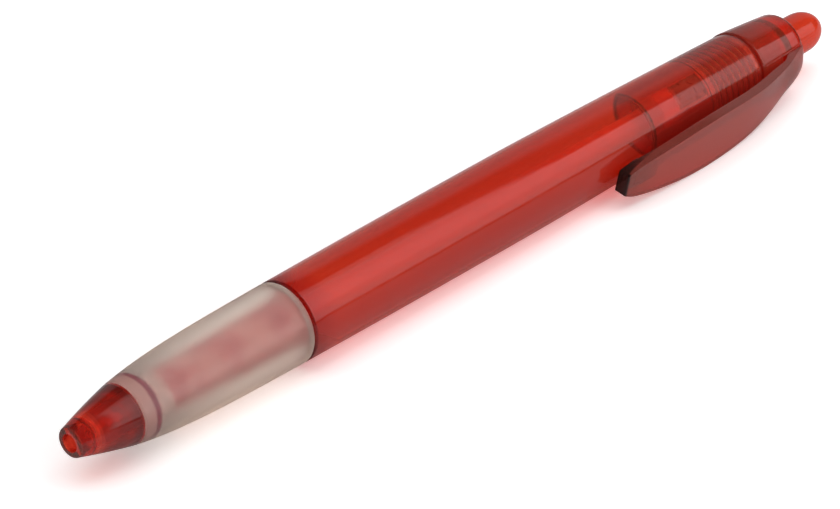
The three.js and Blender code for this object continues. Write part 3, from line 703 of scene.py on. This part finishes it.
def makeClip():
    deselectAll()
    x, height, width, crown = clipStations[0]
    inside = clipInside(x, height, crown)
    bpy.ops.mesh.primitive_grid_add(x_subdivisions=4, y_subdivisions=1, size=mm,
                                    rotation=(0, -math.pi / 2, 0))
    leaf = bpy.context.object
    leaf.name = "clip_leaf"
    applyPlace(leaf)
    startEdit(leaf)
    bpy.ops.mesh.select_all(action="SELECT")
    bpy.ops.transform.resize(value=(1, height - inside, width), center_override=(0, 0, 0))
    bpy.ops.transform.translate(value=(x * mm, -(height + inside) / 2 * mm, 0))
    for nextX, nextHeight, nextWidth, nextCrown in clipStations[1:]:
        nextInside = clipInside(nextX, nextHeight, nextCrown)
        bpy.ops.mesh.extrude_region_move(TRANSFORM_OT_translate={"value": ((nextX - x) * mm, 0, 0)})
        bpy.ops.transform.resize(value=(1, 1, nextWidth / width), center_override=(nextX * mm, 0, 0))
        middle = -(height - crown + inside) / 2 * mm
        movedMiddle = -(nextHeight - nextCrown + inside) / 2 * mm
        station = nextX * mm
        for side in (0, 0.5, 1):
            reach = side * nextWidth / 2 * mm
            pickVerts(leaf, lambda co: abs(co.x - station) < near and co.y < middle
                      and abs(abs(co.z) - reach) < clipShape["pickReach"] * mm)
            rise = (nextHeight - nextCrown * side ** 2) - (height - crown * side ** 2)
            bpy.ops.transform.translate(value=(0, -rise * mm, 0))
        pickVerts(leaf, lambda co: abs(co.x - station) < near and co.y > movedMiddle)
        bpy.ops.transform.translate(value=(0, -(nextInside - inside) * mm, 0))
        pickVerts(leaf, lambda co: abs(co.x - station) < near)
        x, height, width, crown, inside = nextX, nextHeight, nextWidth, nextCrown, nextInside
    bpy.ops.mesh.select_all(action="SELECT")
    bpy.ops.mesh.normals_make_consistent(inside=False)
    bpy.ops.mesh.select_mode(type="EDGE")
    bpy.ops.mesh.select_all(action="DESELECT")
    bpy.ops.mesh.edges_select_sharp(sharpness=math.radians(clipShape["creaseAngle"]))
    bpy.ops.transform.edge_crease(value=1)
    endEdit()
    applyModifier(leaf, "SUBSURF", levels=2, render_levels=2)
    softenEdges(leaf, clipShape["edge"], segments=3, angle=clipShape["edgeAngle"])
    joinWith(leaf, makePad())
    settle(leaf, "clip", smokyRed, "smoky_red", "clip")


def makePad():
    shape = clipShape
    half = shape["padLength"] / 2
    pad = block("pad", (shape["padStation"] - half, shape["padStation"] + half),
                (-shape["padHigh"], -shape["padSeat"]), (-shape["padWidth"] / 2, shape["padWidth"] / 2))
    startEdit(pad)
    seat = -shape["padSeat"] * mm
    pickVerts(pad, lambda co: co.y > seat - near)
    bpy.ops.transform.resize(value=(shape["padFlat"] / shape["padLength"], 1, 1),
                             center_override=(shape["padStation"] * mm, seat, 0))
    endEdit()
    softenEdges(pad, shape["padEdge"])
    return pad


# Push button

buttonShape = {"radius": 2.95, "domeRadius": 2.85, "domeLength": 4.0, "flangeStart": 129.5,
               "flangeEnd": 131.2, "flangeRadius": 3.25, "bore": 1.95, "boreEnd": 139.0, "wall": 0.9,
               "edgeCut": 0.06}


def makeButton():
    shape = buttonShape
    domeStart = pen["end"] - shape["domeLength"]
    dome = [(domeStart + shape["domeLength"] * math.sin(math.radians(a)),
             shape["domeRadius"] * math.cos(math.radians(a))) for a in range(0, 90, 6)]
    button = turned("button", [
        (shape["flangeStart"], shape["bore"]),
        (shape["flangeStart"], shape["flangeRadius"]),
        (shape["flangeEnd"], shape["flangeRadius"]),
        (shape["flangeEnd"], shape["radius"]),
        (pen["capEnd"], shape["radius"]),
        *dome,
        (pen["end"], 0),
        (shape["boreEnd"], 0),
        (shape["boreEnd"], shape["bore"] - shape["wall"]),
        (shape["boreEnd"] - shape["wall"], shape["bore"]),
    ], edge=shape["edgeCut"])
    settle(button, "button", buttonRed, "bright_red", "push_button")


# Refill and spring

refillShape = {"start": 17.05, "end": 109.6, "radius": 1.5, "bore": 1.0, "edgeCut": 0.05}
tipShape = {"start": 3.5, "rim": 0.43, "ball": 0.4, "coneLength": 2.7, "coneRadius": 0.75,
            "shaftRadius": 0.9, "shaftLength": 2.6, "step": 0.4, "bodyRadius": 1.15, "bodyEnd": 17,
            "spigotRadius": 0.95, "spigotEnd": 21, "ballGap": 0.04, "socketTurn": 115, "edgeCut": 0.03}
springShape = {"start": 2.58, "end": 16.72, "radius": 1.48, "wire": 0.18, "wireSides": 12, "curls": 9,
               "stepsPerCurl": 40}


def makeRefill():
    tube = turned("refill_sleeve", [
        (refillShape["start"], refillShape["bore"]), (refillShape["start"], refillShape["radius"]),
        (refillShape["end"], refillShape["radius"]), (refillShape["end"], refillShape["bore"])],
        sides=thinSides, edge=refillShape["edgeCut"])
    settle(tube, "refill", refillClear, "refill_plastic", "refill_tube")
    shape = tipShape
    coneEnd = shape["start"] + shape["coneLength"]
    shaftEnd = coneEnd + shape["shaftLength"]
    socket = shape["ball"] + shape["ballGap"]
    socketArc = cornerArc(shape["start"] + shape["ball"], 0, socket, 0, shape["socketTurn"], 8)
    tip = turned("point", [
        (socketArc[0][0], 0), *socketArc[1:],
        (socketArc[-1][0], shape["rim"]),
        (coneEnd, shape["coneRadius"]), (coneEnd, shape["shaftRadius"]), (shaftEnd, shape["shaftRadius"]),
        (shaftEnd + shape["step"], shape["bodyRadius"]), (shape["bodyEnd"], shape["bodyRadius"]),
        (shape["bodyEnd"], shape["spigotRadius"]), (shape["spigotEnd"], shape["spigotRadius"]),
        (shape["spigotEnd"], 0)], sides=thinSides, edge=shape["edgeCut"])
    settle(tip, "refill", pointBrass, "point_brass", "refill_tip")


def makeSpring():
    shape = springShape

    def section(sectionName):
        deselectAll()
        bpy.ops.mesh.primitive_circle_add(vertices=shape["wireSides"], radius=shape["wire"] * mm,
                                          fill_type="NOTHING",
                                          location=(shape["start"] * mm, shape["radius"] * mm, 0))
        wire = bpy.context.object
        wire.name = sectionName
        return wire
    pitch = (shape["end"] - shape["start"]) / shape["curls"]
    spring = woundPiece("spring", section, pitch, shape["curls"], shape["stepsPerCurl"])
    settle(spring, "barrel", springSteel, "spring_steel", "return_spring")
    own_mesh(spring)


makeNose()
makeGrip()
makeBarrel()
print("nose, grip and barrel made")
makeCap()
makeClip()
makeButton()
print("cap, clip and button made")
makeRefill()
makeSpring()
for node, material in {"pusher": innerRed, "cam_rotor": innerRed, "guide_tube": guideRed,
                       "ink_column": wetInk, "grease_follower": clearGrease, "tail_plug": refillClear,
                       "writing_ball": ballSteel}.items():
    frame["nodes"][node].data.materials.clear()
    frame["nodes"][node].data.materials.append(material)
print("refill, spring and inner pieces made")


# Table, room and lamps

roomLook = {"tableSize": 6, "tableWhite": 0.92, "tableInView": 1.2, "tableInGloss": 0.55, "liftInView": 0.14,
            "liftThroughPlastic": 0.33, "fill": 0.22, "wallInGloss": 0.36, "wallFront": 0.2,
            "wallTopStart": 0.6, "wallTopEnd": 0.72}


def makeTable():
    deselectAll()
    bpy.ops.mesh.primitive_plane_add(size=roomLook["tableSize"], location=(0, 0, 0))
    table = bpy.context.object
    table.name = "table"
    material = bpy.data.materials.new("white table")
    material.use_nodes = True
    nodes = material.node_tree.nodes
    links = material.node_tree.links
    nodes.remove(nodes["Principled BSDF"])
    # the camera and the rays through the plastic find the table a little whiter than reflections do
    path = nodes.new("ShaderNodeLightPath")
    white = nodes.new("ShaderNodeMix")
    white.inputs["A"].default_value = roomLook["tableWhite"]
    white.inputs["B"].default_value = roomLook["tableInView"]
    links.new(path.outputs["Is Camera Ray"], white.inputs["Factor"])
    shade = nodes.new("ShaderNodeMix")
    shade.inputs["B"].default_value = roomLook["tableInGloss"]
    links.new(path.outputs["Is Glossy Ray"], shade.inputs["Factor"])
    links.new(white.outputs["Result"], shade.inputs["A"])
    paper = nodes.new("ShaderNodeBsdfDiffuse")
    links.new(shade.outputs["Result"], paper.inputs["Color"])
    through = nodes.new("ShaderNodeMath")
    through.operation = "MULTIPLY"
    through.inputs[1].default_value = roomLook["liftThroughPlastic"]
    links.new(path.outputs["Is Transmission Ray"], through.inputs[0])
    # and a little glow lifts the shadows there
    strength = nodes.new("ShaderNodeMath")
    strength.operation = "MULTIPLY_ADD"
    strength.inputs[1].default_value = roomLook["liftInView"]
    links.new(path.outputs["Is Camera Ray"], strength.inputs[0])
    links.new(through.outputs["Value"], strength.inputs[2])
    lift = nodes.new("ShaderNodeEmission")
    links.new(strength.outputs["Value"], lift.inputs["Strength"])
    both = nodes.new("ShaderNodeAddShader")
    links.new(paper.outputs["BSDF"], both.inputs[0])
    links.new(lift.outputs["Emission"], both.inputs[1])
    links.new(both.outputs["Shader"], nodes["Material Output"].inputs["Surface"])
    table.data.materials.append(material)


def makeRoom():
    world = bpy.data.worlds.new("studio")
    world.use_nodes = True
    bpy.context.scene.world = world
    nodes = world.node_tree.nodes
    links = world.node_tree.links
    fill = nodes["Background"]
    fill.inputs["Color"].default_value = (1, 1, 1, 1)
    fill.inputs["Strength"].default_value = roomLook["fill"]
    backdrop = nodes.new("ShaderNodeBackground")
    backdrop.inputs["Color"].default_value = (1, 1, 1, 1)
    backdrop.inputs["Strength"].default_value = 1
    # reflections find a pale wall behind the pen, and darkness overhead and in front
    direction = nodes.new("ShaderNodeTexCoord")
    split = nodes.new("ShaderNodeSeparateXYZ")
    links.new(direction.outputs["Generated"], split.inputs["Vector"])
    behind = nodes.new("ShaderNodeMapRange")
    behind.inputs["From Min"].default_value = 0
    behind.inputs["From Max"].default_value = roomLook["wallFront"]
    links.new(split.outputs["Y"], behind.inputs["Value"])
    below = nodes.new("ShaderNodeMapRange")
    below.inputs["From Min"].default_value = roomLook["wallTopEnd"]
    below.inputs["From Max"].default_value = roomLook["wallTopStart"]
    below.inputs["To Max"].default_value = roomLook["wallInGloss"]
    links.new(split.outputs["Z"], below.inputs["Value"])
    wall = productOf(nodes, links, behind.outputs["Result"], below.outputs["Result"])
    mirrored = nodes.new("ShaderNodeBackground")
    mirrored.inputs["Color"].default_value = (1, 1, 1, 1)
    links.new(wall, mirrored.inputs["Strength"])
    path = nodes.new("ShaderNodeLightPath")
    inGloss = nodes.new("ShaderNodeMixShader")
    links.new(path.outputs["Is Glossy Ray"], inGloss.inputs["Fac"])
    links.new(fill.outputs["Background"], inGloss.inputs[1])
    links.new(mirrored.outputs["Background"], inGloss.inputs[2])
    seen = nodes.new("ShaderNodeMath")
    seen.operation = "MAXIMUM"
    links.new(path.outputs["Is Camera Ray"], seen.inputs[0])
    links.new(path.outputs["Is Transmission Ray"], seen.inputs[1])
    inView = nodes.new("ShaderNodeMixShader")
    links.new(seen.outputs["Value"], inView.inputs["Fac"])
    links.new(inGloss.outputs["Shader"], inView.inputs[1])
    links.new(backdrop.outputs["Background"], inView.inputs[2])
    links.new(inView.outputs["Shader"], nodes["World Output"].inputs["Surface"])


# each strip faces the pen: where it lies in degrees round the axis, where it ends along X, and how it glows
softboxStrips = [
    {"from": 5, "to": 31, "end": 1.0, "glow": 1.1},
    {"from": 31, "to": 58, "end": 1.0, "glow": 1.35},
    {"from": 58, "to": 63, "end": 0.56, "glow": 1.15},
    {"from": 63, "to": 68, "end": 0.535, "glow": 1.15},
    {"from": 68, "to": 73, "end": 0.52, "glow": 1.1},
    {"from": 73, "to": 78, "end": 0.5, "glow": 1.0},
    {"from": 78, "to": 83, "end": 0.485, "glow": 0.7},
    {"from": 83, "to": 88, "end": 0.472, "glow": 0.55},
]
softbox = {"distance": 0.6, "start": 0.0}
overheadLamp = {"angle": 97, "distance": 1.0, "along": 0, "length": 1.6, "width": 1.1, "glow": 1.15}
frontLamp = {"angle": 14, "distance": 0.8, "along": 0.1, "length": 1.2, "width": 0.4, "glow": 1.8}


def addLamp(name, angleDegrees, distance, along, length, width, glow):
    lamp = bpy.data.lights.new(name, "AREA")
    lamp.shape = "RECTANGLE"
    lamp.size = length
    lamp.size_y = width
    lamp.energy = glow * math.pi * length * width
    holder = bpy.data.objects.new(name, lamp)
    bpy.context.scene.collection.objects.link(holder)
    angle = math.radians(angleDegrees)
    outward = Vector((0, -math.cos(angle), math.sin(angle)))
    holder.location = outward * distance + Vector((along, axisY, axisZ))
    holder.rotation_euler = (math.pi / 2 - angle, 0, 0)
    return holder


def makeLamps():
    for number, strip in enumerate(softboxStrips):
        halfSpan = math.radians(strip["to"] - strip["from"]) / 2
        addLamp("softbox strip %d" % number, (strip["from"] + strip["to"]) / 2, softbox["distance"],
                (softbox["start"] + strip["end"]) / 2, strip["end"] - softbox["start"],
                2 * softbox["distance"] * math.tan(halfSpan), strip["glow"])
    for name, lamp in {"overhead lamp": overheadLamp, "front lamp": frontLamp}.items():
        soft = addLamp(name, lamp["angle"], lamp["distance"], lamp["along"], lamp["length"], lamp["width"],
                       lamp["glow"])
        soft.visible_glossy = False


# Camera at the photograph's view, fitted to the pen's outline

cameraShape = {"place": (-0.2911, -0.2486, 0.2250), "look": (0.64224, 0.57531, -0.50650), "lens": 150,
               "sensorWidth": 36, "clipStart": 0.01, "clipEnd": 20}


def makeCamera():
    camera = bpy.data.cameras.new("camera")
    camera.lens = cameraShape["lens"]
    camera.sensor_width = cameraShape["sensorWidth"]
    camera.clip_start = cameraShape["clipStart"]
    camera.clip_end = cameraShape["clipEnd"]
    holder = bpy.data.objects.new("camera", camera)
    bpy.context.scene.collection.objects.link(holder)
    holder.location = cameraShape["place"]
    holder.rotation_mode = "QUATERNION"
    holder.rotation_quaternion = Vector(cameraShape["look"]).to_track_quat("-Z", "Y")
    bpy.context.scene.camera = holder


makeTable()
makeRoom()
makeLamps()
makeCamera()
bpy.context.scene.view_settings.view_transform = "Standard"
print("table, lamps and camera set")
